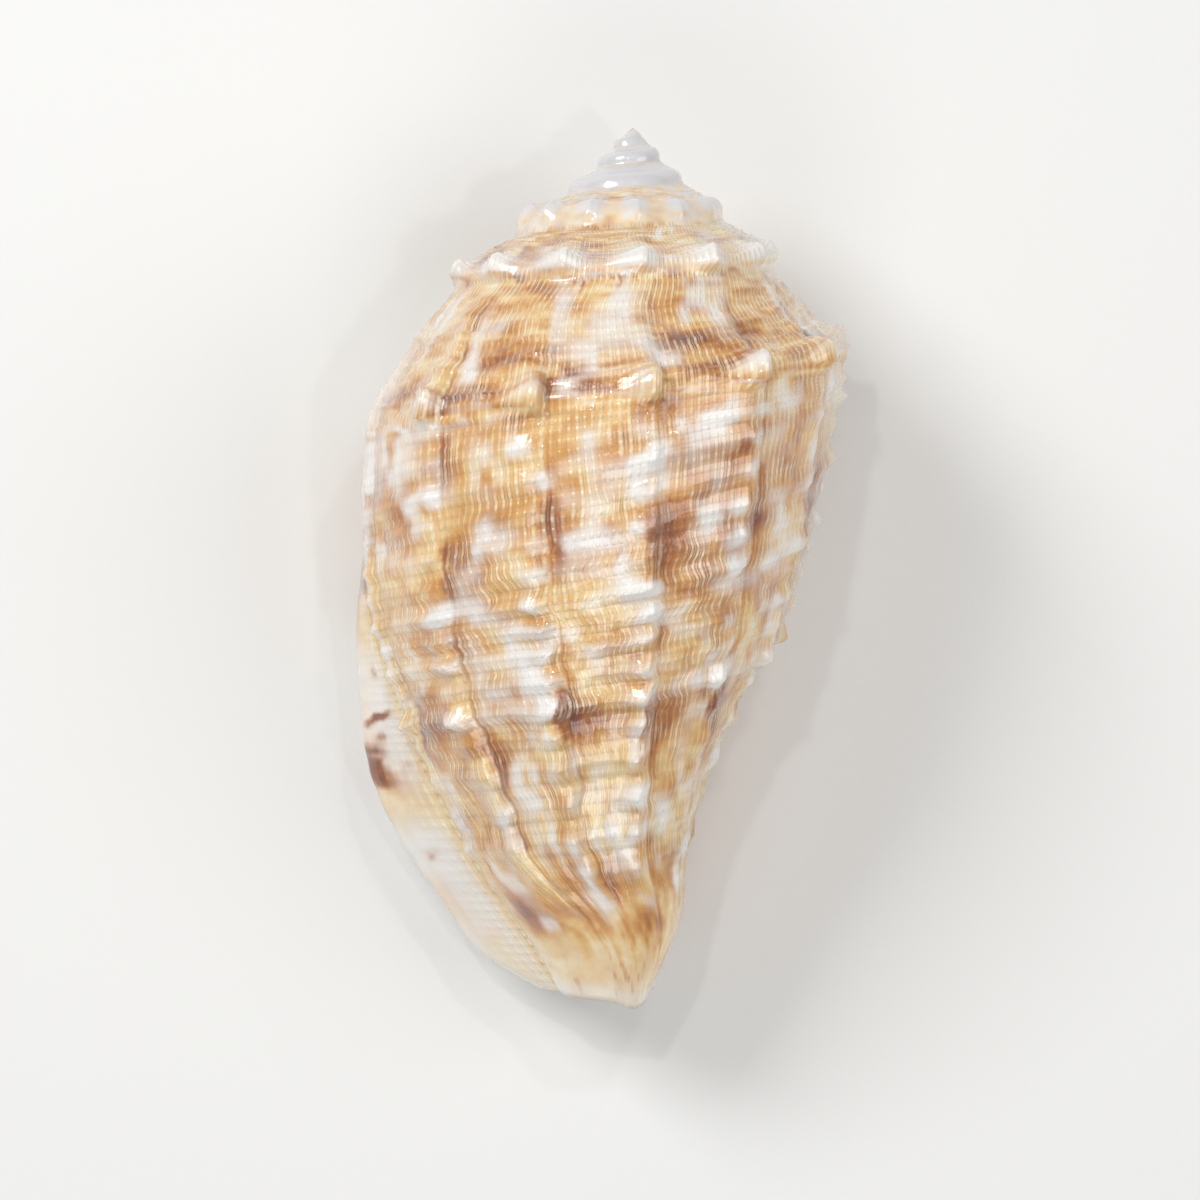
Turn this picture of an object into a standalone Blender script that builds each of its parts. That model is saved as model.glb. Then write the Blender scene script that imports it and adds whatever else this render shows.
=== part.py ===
# A shell of the sea snail Morum dennisoni, lying on its aperture with the spire towards +Y.
# The whole shell is one solid: a coiled outer wall with its ribs, cords and shoulder spines,
# the thickened outer lip, the shield over the inner side, and the hollow behind the aperture.

import bmesh
import bpy
import numpy as np
from math import floor, radians
from mathutils import Matrix

MM = 0.001

# The coil. Angles of growth are in degrees and end at 0, at the mouth. Lengths are in millimetres.
# Depth is measured along the coil axis from the apex.
LIP_AZIMUTH = 205.0            # where growth ends round the axis: 90 faces up, 180 faces left
STATION_FIRST = -2005.0
STATION_STEP = 180.0
SUTURE_RADIUS = (0.23, 0.56, 0.85, 1.07, 1.58, 1.98, 2.88, 3.67, 5.14, 6.67, 7.91, 10.11, 11.62, 15.25)
SUTURE_DEPTH = (0.11, 0.51, 0.85, 1.30, 1.86, 2.32, 3.11, 3.84, 5.20, 6.10, 7.97, 9.10, 12.77, 17.85)
SHOULDER_RADIUS = (0.62, 0.90, 1.30, 1.81, 2.49, 3.28, 4.52, 5.82, 7.57, 9.89, 11.62, 15.14, 16.60)
SHOULDER_DEPTH = (0.40, 0.79, 1.24, 1.75, 2.49, 3.11, 4.24, 4.75, 6.78, 8.31, 11.98, 16.84, 21.00)

# The last whorl below its shoulder: radius as a share of the shoulder's, at shares of the way down
SHARE_DOWN = (0.0, 0.09, 0.20, 0.30, 0.40, 0.50, 0.60, 0.70, 0.78, 0.86, 0.93, 1.0)
PILLAR_SIDE = (1.0, 0.86, 0.72, 0.62, 0.54, 0.47, 0.41, 0.36, 0.32, 0.28, 0.25, 0.23)
SHIELD_SIDE = (1.0, 1.0, 1.0, 1.0, 1.0, 1.0, 0.98, 0.93, 0.85, 0.72, 0.60, 0.42)
RIGHT_SIDE = (1.0, 0.965, 0.89, 0.83, 0.71, 0.52, 0.36, 0.25, 0.235, 0.245, 0.175, 0.06)
BACK_SIDE = (1.0, 0.99, 0.95, 0.90, 0.82, 0.715, 0.60, 0.49, 0.40, 0.30, 0.20, 0.09)
LEFT_SIDE = (1.0, 1.01, 1.0, 0.975, 0.92, 0.85, 0.76, 0.655, 0.56, 0.45, 0.35, 0.27)
SIDE_ANGLES = ((-357.0, -334.0), (-300.0, -236.0), (-205.0, -115.0), (-115.0, -25.0))
RAMP_SAG = 0.13                # how far the ramp under the suture dips, as a share of its depth
RIM_ANGLES = (-420.0, -360.0, -295.0, -205.0, -150.0, -115.0, -80.0, -25.0, 0.0)
RIM_DEPTH = (48.9, 48.9, 49.1, 49.3, 49.75, 49.95, 49.5, 49.1, 48.9)

# The face that the shell lies on, as a distance from the axis
REST_DEPTH = 17.0
REST_HEIGHT = 9.7
REST_TILT = 3.0
CANAL_DEPTH = 42.0
CANAL_RISE = 0.045
SHIELD_CROWN_X = 2.0
SHIELD_CROWN_RADIUS = 40.0
SHIELD_CLEARANCE = 0.02
SHIELD_ROUNDING = 0.35
FLAT_SPOT = 0.16

# The outer lip: its outermost reach and its toothed inner edge, left of the axis
LIP_DEPTH = (9.4, 10.9, 13.2, 14.9, 16.8, 19.9, 24.5, 28.7, 32.4, 36.9, 40.8, 44.0, 47.9, 49.15)
LIP_REACH = (9.8, 11.05, 13.0, 14.4, 15.2, 15.35, 15.4, 15.9, 15.6, 14.9, 13.1, 10.9, 7.5, 5.2)
TOOTH_DEPTH = (9.4, 13.2, 16.8, 24.5, 32.4, 36.9, 40.8, 44.0, 47.9, 49.15)
TOOTH_REACH = (6.0, 7.4, 9.0, 9.4, 9.5, 9.1, 8.0, 6.6, 4.3, 2.9)
TOOTH_HEIGHT = 0.45
WALL = 1.3
INWARD_RAMP = 55.0             # slope of the wall's thickness under the shoulder ramp, in degrees
CANAL_SHARE = 0.60
SLOPE_STEP = 0.04              # reach of t over which the wall's slope is read

# Ribs, cords and spines
RIBS_PER_TURN = 13
RIB_FOOT = -38.8
RIB_COLUMNS = (0.0, 0.11, 0.36, 0.60, 0.82)
RIB_CREST = 0.11
RIB_HEIGHT = 0.62
SPINE_HEIGHT = 1.05
SPINE_LEAN = 1.1               # how far a spine's tip leans back towards the older side
EARLY_SPINES = 0.35            # height of the spines before the last whorl
CORD_HEIGHT = 0.18
STRONG_CORD = 9
STRONG_CORD_HEIGHT = 0.42
CORDS = (0.05, 0.104, 0.155, 0.207, 0.255, 0.305, 0.345, 0.385, 0.43, 0.475, 0.52, 0.575, 0.64, 0.70, 0.76)
CORD_SLOPE = 0.0005
RIB_SLANT = 14.0
FIRST_RIB_ANGLE = -1300.0
FULL_RIB_ANGLE = -700.0
FACES_KEPT = 0.70


def smooth_curve(places, values, at):
    """A curve through the given points with slopes read from their neighbours."""
    places = np.asarray(places, float)
    values = np.asarray(values, float)
    at = np.asarray(at, float)
    slopes = np.gradient(values, places)
    index = np.clip(np.searchsorted(places, at) - 1, 0, len(places) - 2)
    span = places[index + 1] - places[index]
    s = np.clip((at - places[index]) / span, 0.0, 1.0)
    start = (2 * s**3 - 3 * s**2 + 1) * values[index] + (s**3 - 2 * s**2 + s) * span * slopes[index]
    end = (3 * s**2 - 2 * s**3) * values[index + 1] + (s**3 - s**2) * span * slopes[index + 1]
    return start + end


def ease(start, end, at):
    s = np.clip((np.asarray(at, float) - start) / (end - start), 0.0, 1.0)
    return s * s * (3 - 2 * s)


def coil_curve(values, angle, growing=False):
    angles = STATION_FIRST + STATION_STEP * np.arange(len(values))
    if growing:
        return np.exp(smooth_curve(angles, np.log(values), angle))
    return smooth_curve(angles, values, angle)


def side_share(angle, down):
    """Radius of the last whorl below its shoulder, as a share of the radius at the shoulder."""
    sides = (PILLAR_SIDE, SHIELD_SIDE, RIGHT_SIDE, BACK_SIDE, LEFT_SIDE)
    share = smooth_curve(SHARE_DOWN, sides[0], down)
    for (start, end), side in zip(SIDE_ANGLES, sides[1:]):
        weight = ease(start, end, angle)
        share = share * (1 - weight) + smooth_curve(SHARE_DOWN, side, down) * weight
    return share


def rest_face(depth):
    """Distance from the coil axis to the face that the shell lies on."""
    level = REST_HEIGHT - (depth - REST_DEPTH) * np.tan(radians(REST_TILT))
    return level - CANAL_RISE * np.clip(depth - CANAL_DEPTH, 0.0, None) ** 2


def section(angle, t):
    """Radius and depth of the wall: t is 0 at the suture, 1 at the shoulder, 2 at the line that the
    next whorl covers, and 3 at the rim of the canal."""
    suture_r = coil_curve(SUTURE_RADIUS, angle, growing=True)
    suture_d = coil_curve(SUTURE_DEPTH, angle)
    shoulder_r = coil_curve(SHOULDER_RADIUS, angle, growing=True)
    shoulder_d = coil_curve(SHOULDER_DEPTH, angle)
    covered_r = coil_curve(SUTURE_RADIUS, angle + 360.0, growing=True)
    covered_d = coil_curve(SUTURE_DEPTH, angle + 360.0)
    ramp = np.clip(t, 0.0, 1.0)
    sag = RAMP_SAG * (1 - 1.2 * ease(-205.0, -25.0, angle)) * np.where(angle < -385.0, 0.3, 1.0)
    drop = np.clip(t - 1, 0.0, 1.0)
    down = np.clip(t - 2, 0.0, 1.0)
    rim_d = smooth_curve(RIM_ANGLES, RIM_DEPTH, angle)
    radius = np.where(t <= 1, suture_r + (shoulder_r - suture_r) * ramp,
                      shoulder_r + (covered_r - shoulder_r) * drop)
    depth = np.where(t <= 1, suture_d + (shoulder_d - suture_d) * (ramp + sag * np.sin(np.pi * ramp)),
                     shoulder_d + (covered_d - shoulder_d) * drop)
    radius = np.where(t > 2, covered_r * side_share(angle, down), radius)
    depth = np.where(t > 2, covered_d + (rim_d - covered_d) * down, depth)
    return radius, depth


def relief(angle, t):
    """Height of ribs, cords and spines above the plain wall, and how far they lean back."""
    size = (coil_curve(SHOULDER_RADIUS, angle, growing=True) / SHOULDER_RADIUS[-2]) ** 1.25
    strength = ease(FIRST_RIB_ANGLE, FULL_RIB_ANGLE, angle) * ease(-22.0, -30.0, angle)
    bare = ease(-262.0, -236.0, angle)
    covered = ease(2.0, 1.5, t) * ease(-300.0, -330.0, angle)
    shown = np.where(angle < -262.0, covered, bare)
    pitch = 360.0 / RIBS_PER_TURN
    slant = RIB_SLANT * ease(0.9, 0.0, t)
    lap = np.mod((angle - RIB_FOOT - slant) / pitch, 1.0)
    rib = np.where(lap < RIB_CREST, lap / RIB_CREST, ((1 - lap) / (1 - RIB_CREST)) ** 1.4)
    down = np.clip(t - 2, 0.0, 1.0) - CORD_SLOPE * (angle + 100.0)
    cord = np.interp(down, CORDS, np.arange(len(CORDS)))
    bead = np.where(t > 2, 0.5 + 0.5 * np.cos(2 * np.pi * cord), 0.5) * ease(2.85, 2.7, t)
    strong = np.exp(-((cord - STRONG_CORD) / 0.5) ** 2) * np.where(t > 2, 1.0, 0.0)
    ramp_part = ease(0.0, 0.5, t) * (0.45 + 0.2 * np.clip(t, 0, 1))
    body_part = (0.45 + 0.55 * bead) * ease(2.86, 2.68, t)
    height = RIB_HEIGHT * np.where(t < 1.0, ramp_part, np.where(t < 2, 0.65, body_part))
    grown = EARLY_SPINES + (1 - EARLY_SPINES) * ease(-420.0, -230.0, angle) * ease(-38.0, -58.0, angle)
    spine = grown * np.exp(-((t - 1.0) / np.where(t < 1, 0.16, 0.55)) ** 2)
    total = rib * (height + SPINE_HEIGHT * spine + STRONG_CORD_HEIGHT * strong)
    total = total + (CORD_HEIGHT * bead + 0.15 * strong) * np.where(t > 2, 1.0, 0.0)
    seam = np.where(t <= 1, ease(0.0, 0.25, t), 1.0)
    whole = np.where(angle < -262.0, covered * strength, bare * strength)
    part = size * seam * np.where(t < 1.2, strength, whole)
    return total * part, rib * SPINE_LEAN * spine * part


def wall_point(angle, t, inside=0.0, carved=True):
    """A point of the wall, or of its inside, in the coil's own axes: x right, y to the apex, z up."""
    radius, depth = section(angle, t)
    before_r, before_d = section(angle, np.clip(t - SLOPE_STEP, 0.0, 3.0))
    after_r, after_d = section(angle, np.clip(t + SLOPE_STEP, 0.0, 3.0))
    run = np.hypot(after_r - before_r, after_d - before_d) + 1e-9
    raised, lean = relief(angle, t) if carved else (0.0, 0.0)
    inward = np.radians(INWARD_RAMP * ease(2.4, 0.5, t))
    radius = radius + raised * (after_d - before_d) / run - inside * np.cos(inward)
    depth = depth - raised * (after_r - before_r) / run + inside * np.sin(inward)
    azimuth = np.radians(LIP_AZIMUTH + angle) - lean / (radius + 1.0)
    x = radius * np.cos(azimuth)
    z = radius * np.sin(azimuth)
    limit = rest_face(depth) - SHIELD_CLEARANCE - (x - SHIELD_CROWN_X) ** 2 / (2 * SHIELD_CROWN_RADIUS)
    pressed = 0.5 * (-z + limit - np.sqrt((-z - limit) ** 2 + SHIELD_ROUNDING**2))
    flat = ease(-352.0, -338.0, angle) * ease(-205.0, -230.0, angle)
    z = z * (1 - flat) - pressed * flat
    return np.array([x, -depth, z])


FOLD_FIRST = 3                 # columns of the lip, from the wall's end to the toothed edge
FOLD_LAST = 13
COLUMNS = RIBS_PER_TURN * len(RIB_COLUMNS)
POCKET_LAST = -20              # the hollow's deepest column
CANAL_COLUMN = 3               # the hollow is closed below behind this column
RAMP_ROWS = (0.0, 0.3, 0.6, 0.85, 1.0, 1.5)
LOWER_ROWS = (0.80, 0.84, 0.88, 0.92, 0.96, 1.0)


def body_rows():
    """t of each row from the suture to the rim, with a row on each cord and between cords."""
    rows = list(RAMP_ROWS) + [2.0]
    for cord, following in zip(CORDS, CORDS[1:]):
        rows += [2 + cord, 2 + (cord + following) / 2]
    rows.append(2 + CORDS[-1])
    return rows + [2 + share for share in LOWER_ROWS]


ROWS = body_rows()
SEAM_ROW = len(RAMP_ROWS)
LAST_ROW = len(ROWS) - 1


def column_angle(column):
    cell = floor(column / len(RIB_COLUMNS))
    share = RIB_COLUMNS[column - cell * len(RIB_COLUMNS)]
    return RIB_FOOT + 360.0 / RIBS_PER_TURN * (cell + share)


def lip_point(column, row):
    """A point of the thick lip: it rolls outwards, under, and in to the toothed edge."""
    t = ROWS[row]
    start = wall_point(column_angle(FOLD_FIRST), t)
    plain = wall_point(column_angle(column), t, carved=False)
    depth = -start[1]
    floor_z = -rest_face(depth)
    reach = -smooth_curve(LIP_DEPTH, LIP_REACH, depth)
    tooth_x = -smooth_curve(TOOTH_DEPTH, TOOTH_REACH, depth)
    tooth = TOOTH_HEIGHT * (1 if row % 2 else -1) * ease(2.0, 2.1, t) * ease(2.95, 2.8, t)
    drop = start[2] - floor_z
    width = tooth_x - reach
    path = (
        (start[0], start[2]),
        (start[0] + 0.45 * (reach - start[0]), start[2] - 0.12 * drop),
        (reach + 0.02 * width, start[2] - 0.30 * drop),
        (reach, start[2] - 0.48 * drop),
        (reach + 0.03 * width, start[2] - 0.68 * drop),
        (reach + 0.11 * width, start[2] - 0.86 * drop),
        (reach + 0.27 * width, floor_z + 0.12),
        (reach + 0.50 * width, floor_z),
        (reach + 0.80 * width + 0.4 * tooth, floor_z + 0.10),
        (reach + 0.95 * width + tooth, floor_z + 0.35),
        (tooth_x + 0.6 * tooth, floor_z + 1.5),
    )
    x, z = path[column - FOLD_FIRST]
    plain[2] = max(plain[2], floor_z + 0.25)
    weight = ease(0.0, 1.6, t)
    return plain * (1 - weight) + np.array([x, start[1], z]) * weight


def canal_share(column):
    """How far down the hollow reaches behind the aperture."""
    return 1 - (1 - CANAL_SHARE) * ease(CANAL_COLUMN, POCKET_LAST, column)


def pillar_point(column, row):
    """The inner side of the hollow, on the whorl before."""
    down = (ROWS[row] - 2) * canal_share(column)
    return wall_point(column_angle(column - COLUMNS), 2 + down, carved=False)


def inner_point(column, row):
    """The inside of the outer wall."""
    t = ROWS[row]
    shortened = t if t <= 2 else 2 + (t - 2) * canal_share(column)
    thickness = WALL * (0.6 + 0.4 * ease(0.0, 1.0, t)) * (1 - 0.4 * ease(2.6, 3.0, t))
    if column >= FOLD_FIRST:
        share = (FOLD_LAST - column) / (FOLD_LAST - FOLD_FIRST)
        return swing(lip_point(FOLD_LAST, row),
                     wall_point(column_angle(FOLD_FIRST), t, thickness * 1.2, carved=False), share)
    point = wall_point(column_angle(column), shortened, thickness, carved=False)
    closing = ease(LAST_ROW - 5, LAST_ROW, row)
    return point * (1 - closing) + pillar_point(column, LAST_ROW) * closing


def swing(start, end, share):
    """A point between two others that keeps its distance from the coil axis."""
    radius = np.hypot(start[0], start[2]) * (1 - share) + np.hypot(end[0], end[2]) * share
    first = np.arctan2(-start[2], -start[0])
    last = np.arctan2(-end[2], -end[0])
    azimuth = first * (1 - share) + last * share
    depth = start[1] * (1 - share) + end[1] * share
    return np.array([-radius * np.cos(azimuth), depth, -radius * np.sin(azimuth)])


class Lattice:
    """Vertices by column and row, with the suture's vertices shared between neighbouring whorls."""

    def __init__(self, mesh):
        self.mesh = mesh
        self.made = {}

    def vertex(self, sheet, column, row):
        if sheet == "outer" and row == SEAM_ROW and column <= FOLD_LAST - COLUMNS:
            column, row = column + COLUMNS, 0
        if sheet == "inner" and column == FOLD_LAST:
            sheet = "outer"
        if sheet == "inner" and row == 0:
            sheet, row = "pillar", SEAM_ROW + 1
        if sheet == "inner" and row == LAST_ROW and column < CANAL_COLUMN:
            sheet = "pillar"
        if sheet == "pillar" and column == FOLD_LAST:
            sheet, column = "outer", column - COLUMNS
        key = (sheet, column, row)
        if key not in self.made:
            self.made[key] = self.mesh.verts.new(self.place(*key))
        return self.made[key]

    def place(self, sheet, column, row):
        if sheet == "inner":
            return inner_point(column, row)
        if sheet == "pillar":
            return pillar_point(column, row)
        if column > FOLD_FIRST:
            return lip_point(column, row)
        return wall_point(column_angle(column), ROWS[row])

    def face(self, *keys):
        corners = []
        for key in keys:
            vertex = self.vertex(*key)
            if vertex not in corners:
                corners.append(vertex)
        if len(corners) > 2:
            self.mesh.faces.new(corners)

    def patch(self, sheet, columns, rows):
        for column in columns:
            for row in rows:
                self.face((sheet, column, row), (sheet, column, row + 1),
                          (sheet, column + 1, row + 1), (sheet, column + 1, row))


def build_shell():
    mesh = bmesh.new()
    grid = Lattice(mesh)
    first = round((STATION_FIRST - RIB_FOOT) / 360.0 * COLUMNS)
    body_first = FOLD_LAST - COLUMNS
    # Spire, last whorl with the lip, and the two walls of the hollow
    grid.patch("outer", range(first, body_first), range(SEAM_ROW))
    grid.patch("outer", range(body_first, FOLD_LAST), range(LAST_ROW))
    grid.patch("inner", range(POCKET_LAST, FOLD_LAST - 1), range(LAST_ROW))
    grid.patch("inner", [FOLD_LAST - 1], range(1, LAST_ROW))
    grid.patch("pillar", range(POCKET_LAST, FOLD_LAST), range(SEAM_ROW + 1, LAST_ROW))
    # Where the toothed edge leaves the whorl before
    grid.face(("outer", FOLD_LAST, 0), ("outer", FOLD_LAST, 1), ("inner", FOLD_LAST - 1, 1),
              ("inner", FOLD_LAST - 1, 0), ("outer", body_first, SEAM_ROW + 1))
    # The deep end of the hollow
    grid.face(*[("inner", POCKET_LAST, row) for row in range(LAST_ROW + 1)],
              *[("pillar", POCKET_LAST, row) for row in range(LAST_ROW - 1, SEAM_ROW + 1, -1)])
    # The end of the canal
    grid.face(*[("outer", column, LAST_ROW) for column in range(body_first, FOLD_LAST + 1)],
              *[("inner", column, LAST_ROW) for column in range(FOLD_LAST - 1, CANAL_COLUMN - 2, -1)],
              *[("pillar", column, LAST_ROW) for column in range(CANAL_COLUMN, FOLD_LAST)])
    # The apex
    tip = mesh.verts.new((0.0, 0.0, 0.0))
    ring = [grid.vertex("outer", first, row) for row in range(SEAM_ROW, -1, -1)]
    ring += [grid.vertex("outer", column, 0) for column in range(first + 1, first + COLUMNS + 1)]
    for corner, following in zip(ring, ring[1:]):
        mesh.faces.new((tip, corner, following))
    bmesh.ops.triangulate(mesh, faces=mesh.faces[:])
    bmesh.ops.recalc_face_normals(mesh, faces=mesh.faces[:])
    return mesh


def lay_down(mesh):
    """Turns the shell onto the face it lies on, flattens its lowest points and puts the origin there."""
    bmesh.ops.rotate(mesh, verts=mesh.verts[:], matrix=Matrix.Rotation(radians(REST_TILT), 3, "X"))
    places = np.array([vertex.co for vertex in mesh.verts])
    ground = places[:, 2].min() + FLAT_SPOT
    centre = (places.min(axis=0) + places.max(axis=0)) / 2
    for vertex in mesh.verts:
        vertex.co.x = (vertex.co.x - centre[0]) * MM
        vertex.co.y = (vertex.co.y - centre[1]) * MM
        vertex.co.z = (max(vertex.co.z, ground) - ground) * MM


def shell_material():
    material = bpy.data.materials.new("shell_glaze")
    material.use_nodes = True
    shader = material.node_tree.nodes["Principled BSDF"]
    shader.inputs["Base Color"].default_value = (0.72, 0.48, 0.26, 1.0)
    shader.inputs["Roughness"].default_value = 0.25
    shader.inputs["Metallic"].default_value = 0.0
    return material


def main():
    for item in list(bpy.data.objects):
        bpy.data.objects.remove(item)
    mesh = build_shell()
    lay_down(mesh)
    data = bpy.data.meshes.new("shell")
    mesh.to_mesh(data)
    mesh.free()
    shell = bpy.data.objects.new("shell", data)
    bpy.context.scene.collection.objects.link(shell)
    data.materials.append(shell_material())
    fewer = shell.modifiers.new("fewer faces", "DECIMATE")
    fewer.ratio = FACES_KEPT


main()
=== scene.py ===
import bpy
import numpy as np
from math import radians
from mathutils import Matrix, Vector


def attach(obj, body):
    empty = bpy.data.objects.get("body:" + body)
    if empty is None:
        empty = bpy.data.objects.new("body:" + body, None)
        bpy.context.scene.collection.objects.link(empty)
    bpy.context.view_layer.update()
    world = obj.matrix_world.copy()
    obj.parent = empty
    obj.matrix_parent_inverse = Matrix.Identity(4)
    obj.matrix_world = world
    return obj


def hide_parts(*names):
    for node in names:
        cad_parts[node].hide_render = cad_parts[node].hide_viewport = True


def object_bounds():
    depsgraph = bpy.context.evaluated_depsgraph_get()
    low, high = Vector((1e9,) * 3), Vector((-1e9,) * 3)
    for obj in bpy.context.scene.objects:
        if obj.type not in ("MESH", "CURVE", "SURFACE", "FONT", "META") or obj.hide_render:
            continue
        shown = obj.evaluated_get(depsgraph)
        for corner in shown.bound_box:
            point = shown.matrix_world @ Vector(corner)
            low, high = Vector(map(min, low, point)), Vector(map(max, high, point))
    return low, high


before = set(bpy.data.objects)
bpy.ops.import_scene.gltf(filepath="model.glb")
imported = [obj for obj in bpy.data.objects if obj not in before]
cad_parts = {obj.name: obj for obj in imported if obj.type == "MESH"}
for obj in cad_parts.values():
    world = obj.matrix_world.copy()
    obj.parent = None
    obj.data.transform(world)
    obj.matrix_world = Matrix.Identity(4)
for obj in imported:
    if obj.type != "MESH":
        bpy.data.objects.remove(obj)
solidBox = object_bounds()
bpy.ops.object.select_all(action="DESELECT")
mm = 0.001

coil = {
    "lipAzimuth": 205.0,          # where growth ends round the axis, 90 faces up and 180 left
    "firstStation": -2005.0,      # growth angles end at 0, at the mouth
    "stationStep": 180.0,
    "sutureRadius": (0.23, 0.56, 0.85, 1.07, 1.58, 1.98, 2.88, 3.67, 5.14, 6.67, 7.91, 10.11, 11.62, 15.25),
    "sutureDepth": (0.11, 0.51, 0.85, 1.30, 1.86, 2.32, 3.11, 3.84, 5.20, 6.10, 7.97, 9.10, 12.77, 17.85),
    "shoulderRadius": (0.62, 0.90, 1.30, 1.81, 2.49, 3.28, 4.52, 5.82, 7.57, 9.89, 11.62, 15.14, 16.60),
    "shoulderDepth": (0.40, 0.79, 1.24, 1.75, 2.49, 3.11, 4.24, 4.75, 6.78, 8.31, 11.98, 16.84, 21.00),
    "rampSag": 0.13,              # how far the ramp hangs below a straight line, as a share of its depth
    "sagLost": 1.2,               # how much of that is gone at the mouth
    "earlySag": 0.3,              # how much of it the early whorls have
    "apex": (1.776, 24.975, 10.416),   # where the apex sits in the part's frame
    "tilt": 3.0,
}

side = {                          # the last whorl below its shoulder, as shares of the way down
    "down": (0.0, 0.09, 0.20, 0.30, 0.40, 0.50, 0.60, 0.70, 0.78, 0.86, 0.93, 1.0),
    "pillar": (1.0, 0.86, 0.72, 0.62, 0.54, 0.47, 0.41, 0.36, 0.32, 0.28, 0.25, 0.23),
    "shield": (1.0, 1.0, 1.0, 1.0, 1.0, 1.0, 0.98, 0.93, 0.85, 0.72, 0.60, 0.42),
    "right": (1.0, 0.965, 0.89, 0.83, 0.71, 0.52, 0.36, 0.25, 0.235, 0.245, 0.175, 0.06),
    "back": (1.0, 0.99, 0.95, 0.90, 0.82, 0.715, 0.60, 0.49, 0.40, 0.30, 0.20, 0.09),
    "left": (1.0, 1.01, 1.0, 0.975, 0.92, 0.85, 0.76, 0.655, 0.56, 0.45, 0.35, 0.27),
    "turns": (("shield", -357.0, -334.0), ("right", -300.0, -236.0), ("back", -205.0, -115.0),
              ("left", -115.0, -25.0)),
    "rounding": 22,               # how often the shoulder's corner is softened
    "earlyRounding": 0.6,         # the share of that on older whorls
    "insideTilt": 55.0,           # degrees below straight inwards that the inside lies, near the suture
    "rimAngle": (-420.0, -360.0, -295.0, -205.0, -150.0, -115.0, -80.0, -25.0, 0.0),
    "rimDepth": (48.9, 48.9, 49.1, 49.3, 49.75, 49.95, 49.5, 49.1, 48.9),
}

rest = {                          # the face that the shell lies on
    "depth": 17.0, "height": 9.7, "tilt": 3.0, "canalDepth": 42.0, "canalRise": 0.045,
    "crownX": 2.0, "crownRadius": 40.0, "clearance": 0.02, "rounding": 0.35,
    "older": (-352.0, -338.0),    # the angles over which the wall comes to be pressed flat
    "newer": (-205.0, -230.0),    # the same at the newer end
}


def smoothCurve(places, values, at):      # a curve through points, slopes read from their neighbours
    places = np.asarray(places, float)
    values = np.asarray(values, float)
    at = np.asarray(at, float)
    slopes = np.gradient(values, places, axis=0)
    index = np.clip(np.searchsorted(places, at) - 1, 0, len(places) - 2)
    span = places[index + 1] - places[index]
    s = np.clip((at - places[index]) / span, 0.0, 1.0)
    if values.ndim > 1:
        s = s[:, None]
        span = span[:, None]
    start = (2 * s**3 - 3 * s**2 + 1) * values[index] + (s**3 - 2 * s**2 + s) * span * slopes[index]
    end = (3 * s**2 - 2 * s**3) * values[index + 1] + (s**3 - s**2) * span * slopes[index + 1]
    return start + end


def ease(start, end, at):
    s = np.clip((np.asarray(at, float) - start) / (end - start), 0.0, 1.0)
    return s * s * (3 - 2 * s)


def bump(centre, width, at):
    return np.exp(-((np.asarray(at, float) - centre) / width) ** 2)


def alongCoil(name, angle):
    angles = coil["firstStation"] + coil["stationStep"] * np.arange(len(coil[name]))
    if name.endswith("Radius"):
        return np.exp(smoothCurve(angles, np.log(coil[name]), angle))
    return smoothCurve(angles, coil[name], angle)


def restFace(depth):                      # distance from the coil axis down to the resting face
    level = rest["height"] - (depth - rest["depth"]) * np.tan(radians(rest["tilt"]))
    return level - rest["canalRise"] * np.clip(depth - rest["canalDepth"], 0.0, None) ** 2


def section(angle, t):                    # t: 0 suture, 1 shoulder, 2 where the next whorl starts, 3 rim
    sutureR, sutureD = alongCoil("sutureRadius", angle), alongCoil("sutureDepth", angle)
    shoulderR, shoulderD = alongCoil("shoulderRadius", angle), alongCoil("shoulderDepth", angle)
    coveredR, coveredD = alongCoil("sutureRadius", angle + 360.0), alongCoil("sutureDepth", angle + 360.0)
    ramp = np.clip(t, 0.0, 1.0)
    sag = coil["rampSag"] * (1 - coil["sagLost"] * ease(-205.0, -25.0, angle))
    sag = sag * np.where(angle < -385.0, coil["earlySag"], 1.0)
    drop = np.clip(t - 1, 0.0, 1.0)
    down = np.clip(t - 2, 0.0, 1.0)
    share = smoothCurve(side["down"], side["pillar"], down)
    for name, start, end in side["turns"]:
        weight = ease(start, end, angle)
        share = share * (1 - weight) + smoothCurve(side["down"], side[name], down) * weight
    rimD = smoothCurve(side["rimAngle"], side["rimDepth"], angle)
    radius = np.where(t <= 1, sutureR + (shoulderR - sutureR) * ramp,
                      shoulderR + (coveredR - shoulderR) * drop)
    depth = np.where(t <= 1, sutureD + (shoulderD - sutureD) * (ramp + sag * np.sin(np.pi * ramp)),
                     shoulderD + (coveredD - shoulderD) * drop)
    radius = np.where(t > 2, coveredR * share, radius)
    depth = np.where(t > 2, coveredD + (rimD - coveredD) * down, depth)
    return radius, depth


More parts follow.
